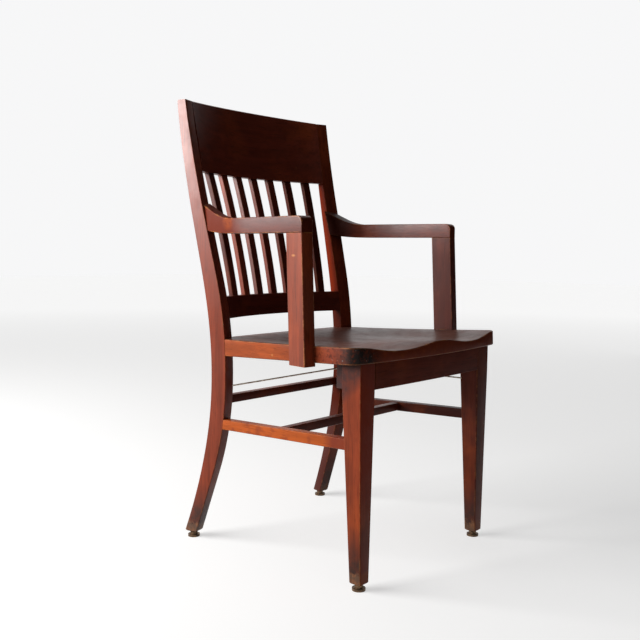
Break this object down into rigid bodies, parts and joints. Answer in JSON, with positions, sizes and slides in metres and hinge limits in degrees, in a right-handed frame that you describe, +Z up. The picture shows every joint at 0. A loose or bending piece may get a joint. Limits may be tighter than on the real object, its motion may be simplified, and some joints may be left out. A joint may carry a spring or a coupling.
{
  "type": "wooden library armchair",
  "caption": "All-wood library armchair: saddle seat, hollow back with upright slats under a wide crest rail, curved rear posts, tapered front legs, wire ties and metal glides.",
  "frame": {"origin": "on the floor, under the middle of the chair's plan box", "axes": "+X to the sitter's left, seen from the front the viewer's right; +Y from the front to the back; +Z up"},
  "size_m": [0.5058, 0.5488, 0.907],
  "materials": {
    "frame_wood": "worn mahogany stain under a satin clear coat",
    "dowel_wood": "bare birch dowel",
    "glide_metal": "worn and tarnished",
    "wire_steel": "dulled drawn wire",
    "screw_steel": "plain"
  },
  "bodies": {
    "root": {"crest_rail": "frame_wood", "lower_back_rail": "frame_wood", "seat": "frame_wood", "front_apron": "frame_wood", "rear_rail": "frame_wood", "cross_stretcher": "frame_wood", "screw_plugs": "frame_wood", "rear_post_left": "frame_wood", "rear_post_right": "frame_wood", "front_leg_left": "frame_wood", "front_leg_right": "frame_wood", "leg_block_left": "frame_wood", "leg_block_right": "frame_wood", "side_stretcher_left": "frame_wood", "side_stretcher_right": "frame_wood", "arm_left": "frame_wood", "arm_right": "frame_wood", "arm_post_left": "frame_wood", "arm_post_right": "frame_wood", "back_slat_1": "frame_wood", "back_slat_2": "frame_wood", "back_slat_3": "frame_wood", "back_slat_4": "frame_wood", "back_slat_5": "frame_wood", "back_slat_6": "frame_wood", "back_slat_7": "frame_wood", "arm_post_dowels": "dowel_wood", "glide_front_left": "glide_metal", "glide_front_right": "glide_metal", "glide_rear_left": "glide_metal", "glide_rear_right": "glide_metal", "tie_wire_1": "wire_steel", "tie_wire_2": "wire_steel", "tie_hook": "wire_steel", "arm_screws": "screw_steel", "seat_screws": "screw_steel"}
  },
  "joints": []
}
